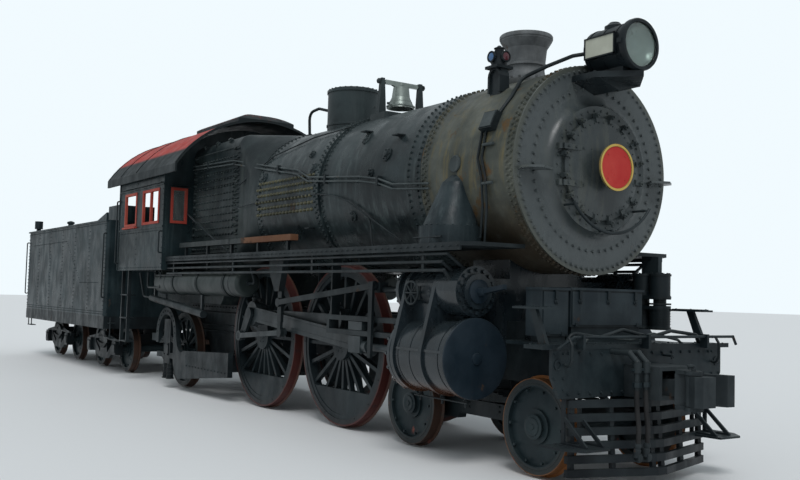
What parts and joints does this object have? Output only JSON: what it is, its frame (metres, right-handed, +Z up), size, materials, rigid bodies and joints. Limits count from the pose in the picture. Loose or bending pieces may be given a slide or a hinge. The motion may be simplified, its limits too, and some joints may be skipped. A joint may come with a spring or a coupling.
{
  "type": "steam locomotive with tender",
  "caption": "Old standard-gauge steam locomotive with bogie, coupled drivers, trailing truck, square-topped firebox, arched cab roof and tender.",
  "frame": {"origin": "bottom centre of the whole engine and tender, at the foot of the wheel flanges, which stand 28 mm below the rail head", "axes": "+X towards the front coupler, +Y to the engine's left, +Z up"},
  "size_m": [20.1, 3.2, 4.75],
  "materials": {
    "black_paint": "weathered semi-gloss black",
    "smokebox_paint": "heat-bleached grey-tan with rust streaks",
    "plate_red": "faded red paint",
    "roof_red": "faded red oxide paint",
    "bell_brass": "dull brass",
    "cast_steel": "rusty cast steel",
    "tender_paint": "weathered blue-grey black",
    "glass": "dusty glass",
    "hose_rubber": "cracked black rubber",
    "wheel_iron": "rusty iron with worn treads",
    "rod_steel": "oiled steel with rust"
  },
  "bodies": {
    "engine": {"main_frame": "black_paint", "cylinders": "black_paint", "smokebox": "smokebox_paint", "smokebox_front": "smokebox_paint", "boiler_barrel": "black_paint", "firebox": "black_paint", "steam_dome": "black_paint", "stack": "black_paint", "bell_stand": "black_paint", "lamps": "black_paint", "glass": "glass", "running_boards": "black_paint", "steam_pipes": "black_paint", "air_reservoirs": "black_paint", "air_pump": "black_paint", "front_deck": "black_paint", "pilot": "black_paint", "coupler_front": "cast_steel", "crosshead_guides": "black_paint", "valve_gear": "black_paint", "ashpan": "black_paint", "cab_body": "black_paint", "cab_roof": "roof_red", "window_sashes": "plate_red", "cab_floor": "black_paint", "cab_fittings": "black_paint", "piping": "black_paint", "air_hose_outer": "hose_rubber", "air_hose_inner": "hose_rubber", "hose_couplings": "cast_steel"},
    "smokebox_door": {"smokebox_door": "smokebox_paint", "number_plate": "plate_red"},
    "bell": {"bell": "bell_brass"},
    "knuckle_front": {"knuckle_front": "cast_steel"},
    "lead_truck": {"lead_truck_frame": "black_paint"},
    "lead_axle_front": {"lead_wheelset_1": "wheel_iron"},
    "lead_axle_rear": {"lead_wheelset_2": "wheel_iron"},
    "driver_front": {"driver_wheelset_1": "wheel_iron"},
    "driver_rear": {"driver_wheelset_2": "wheel_iron"},
    "trailing_truck": {"trailing_truck_frame": "black_paint"},
    "trailing_axle": {"trailing_wheelset": "wheel_iron"},
    "drawbar": {"drawbar": "black_paint"},
    "tender": {"tender_frame": "black_paint", "tender_tank": "tender_paint", "coupler_rear": "cast_steel"},
    "knuckle_rear": {"knuckle_rear": "cast_steel"},
    "tender_truck_front": {"tender_truck_1": "black_paint"},
    "tender_truck_rear": {"tender_truck_2": "black_paint"},
    "tender_axle_1": {"tender_wheelset_1": "wheel_iron"},
    "tender_axle_2": {"tender_wheelset_2": "wheel_iron"},
    "tender_axle_3": {"tender_wheelset_3": "wheel_iron"},
    "tender_axle_4": {"tender_wheelset_4": "wheel_iron"},
    "side_rod_right": {"side_rod_right": "rod_steel"},
    "main_rod_right": {"main_rod_right": "rod_steel"},
    "eccentric_rod_right": {"eccentric_rod_right": "rod_steel"},
    "crosshead_right": {"crosshead_right": "rod_steel"},
    "side_rod_left": {"side_rod_left": "rod_steel"},
    "main_rod_left": {"main_rod_left": "rod_steel"},
    "eccentric_rod_left": {"eccentric_rod_left": "rod_steel"},
    "crosshead_left": {"crosshead_left": "rod_steel"}
  },
  "joints": [
    {"name": "driver_front_spin", "type": "hinge", "parent": "engine", "child": "driver_front", "pos_m": [4.95, 0, 1.044], "axis": [0, 1, 0], "continuous": true},
    {"name": "driver_rear_spin", "type": "hinge", "parent": "engine", "child": "driver_rear", "pos_m": [2.689, 0, 1.044], "axis": [0, 1, 0], "continuous": true},
    {"name": "side_rod_right_pin", "type": "hinge", "parent": "driver_front", "child": "side_rod_right", "pos_m": [4.95, -0.8825, 1.374], "axis": [0, 1, 0], "continuous": true},
    {"name": "main_rod_right_pin", "type": "hinge", "parent": "driver_rear", "child": "main_rod_right", "pos_m": [2.689, -0.9745, 1.374], "axis": [0, 1, 0], "continuous": true},
    {"name": "eccentric_rod_right_pin", "type": "hinge", "parent": "driver_rear", "child": "eccentric_rod_right", "pos_m": [2.489, -1.1035, 1.044], "axis": [0, 1, 0], "continuous": true},
    {"name": "crosshead_right_slide", "type": "slide", "parent": "engine", "child": "crosshead_right", "axis": [1, 0, 0], "range_m": [-0.318, 0.342]},
    {"name": "side_rod_left_pin", "type": "hinge", "parent": "driver_front", "child": "side_rod_left", "pos_m": [4.62, 0.8825, 1.044], "axis": [0, 1, 0], "continuous": true},
    {"name": "main_rod_left_pin", "type": "hinge", "parent": "driver_rear", "child": "main_rod_left", "pos_m": [2.359, 0.9745, 1.044], "axis": [0, 1, 0], "continuous": true},
    {"name": "eccentric_rod_left_pin", "type": "hinge", "parent": "driver_rear", "child": "eccentric_rod_left", "pos_m": [2.689, 1.1035, 0.844], "axis": [0, 1, 0], "continuous": true},
    {"name": "crosshead_left_slide", "type": "slide", "parent": "engine", "child": "crosshead_left", "axis": [1, 0, 0], "range_m": [0, 0.66]},
    {"name": "smokebox_door_hinge", "type": "hinge", "parent": "engine", "child": "smokebox_door", "pos_m": [8.635, -0.575, 3.028], "axis": [0, 0, -1], "range_deg": [0, 80]},
    {"name": "bell_swing", "type": "hinge", "parent": "engine", "child": "bell", "pos_m": [4.95, 0, 4.53], "axis": [0, 1, 0], "range_deg": [-40, 40]},
    {"name": "lead_truck_swivel", "type": "hinge", "parent": "engine", "child": "lead_truck", "pos_m": [7.555, 0, 0.9], "axis": [0, 0, 1], "range_deg": [-2.5, 2.5]},
    {"name": "lead_axle_front_spin", "type": "hinge", "parent": "lead_truck", "child": "lead_axle_front", "pos_m": [8.59, 0, 0.485], "axis": [0, 1, 0], "continuous": true},
    {"name": "lead_axle_rear_spin", "type": "hinge", "parent": "lead_truck", "child": "lead_axle_rear", "pos_m": [6.52, 0, 0.485], "axis": [0, 1, 0], "continuous": true},
    {"name": "trailing_truck_swivel", "type": "hinge", "parent": "engine", "child": "trailing_truck", "pos_m": [1.5, 0, 0.6], "axis": [0, 0, 1], "range_deg": [-2, 2]},
    {"name": "trailing_axle_spin", "type": "hinge", "parent": "trailing_truck", "child": "trailing_axle", "pos_m": [-0.43, 0, 0.663], "axis": [0, 1, 0], "continuous": true},
    {"name": "drawbar_swing", "type": "hinge", "parent": "engine", "child": "drawbar", "pos_m": [-1.7, 0, 1.04], "axis": [0, 0, 1], "range_deg": [-3, 3]},
    {"name": "tender_swing", "type": "hinge", "parent": "drawbar", "child": "tender", "pos_m": [-3.14, 0, 1.04], "axis": [0, 0, 1], "range_deg": [-5, 5]},
    {"name": "knuckle_front_pin", "type": "hinge", "parent": "engine", "child": "knuckle_front", "pos_m": [9.89, -0.13, 0.925], "axis": [0, 0, -1], "range_deg": [0, 45]},
    {"name": "knuckle_rear_pin", "type": "hinge", "parent": "tender", "child": "knuckle_rear", "pos_m": [-9.89, 0.13, 0.925], "axis": [0, 0, -1], "range_deg": [0, 45]},
    {"name": "tender_truck_front_swivel", "type": "hinge", "parent": "tender", "child": "tender_truck_front", "pos_m": [-4.35, 0, 0.9], "axis": [0, 0, 1], "range_deg": [-4, 4]},
    {"name": "tender_axle_1_spin", "type": "hinge", "parent": "tender_truck_front", "child": "tender_axle_1", "pos_m": [-3.5, 0, 0.485], "axis": [0, 1, 0], "continuous": true},
    {"name": "tender_axle_2_spin", "type": "hinge", "parent": "tender_truck_front", "child": "tender_axle_2", "pos_m": [-5.2, 0, 0.485], "axis": [0, 1, 0], "continuous": true},
    {"name": "tender_truck_rear_swivel", "type": "hinge", "parent": "tender", "child": "tender_truck_rear", "pos_m": [-7.9, 0, 0.9], "axis": [0, 0, 1], "range_deg": [-4, 4]},
    {"name": "tender_axle_3_spin", "type": "hinge", "parent": "tender_truck_rear", "child": "tender_axle_3", "pos_m": [-7.05, 0, 0.485], "axis": [0, 1, 0], "continuous": true},
    {"name": "tender_axle_4_spin", "type": "hinge", "parent": "tender_truck_rear", "child": "tender_axle_4", "pos_m": [-8.75, 0, 0.485], "axis": [0, 1, 0], "continuous": true}
  ],
  "couplings": [
    {"joint": "driver_rear_spin", "follows": "driver_front_spin", "ratio": 1},
    {"joint": "side_rod_right_pin", "follows": "driver_front_spin", "ratio": -1},
    {"joint": "main_rod_right_pin", "follows": "driver_front_spin", "ratio": -1},
    {"joint": "eccentric_rod_right_pin", "follows": "driver_front_spin", "ratio": -1},
    {"joint": "side_rod_left_pin", "follows": "driver_front_spin", "ratio": -1},
    {"joint": "main_rod_left_pin", "follows": "driver_front_spin", "ratio": -1},
    {"joint": "eccentric_rod_left_pin", "follows": "driver_front_spin", "ratio": -1}
  ]
}
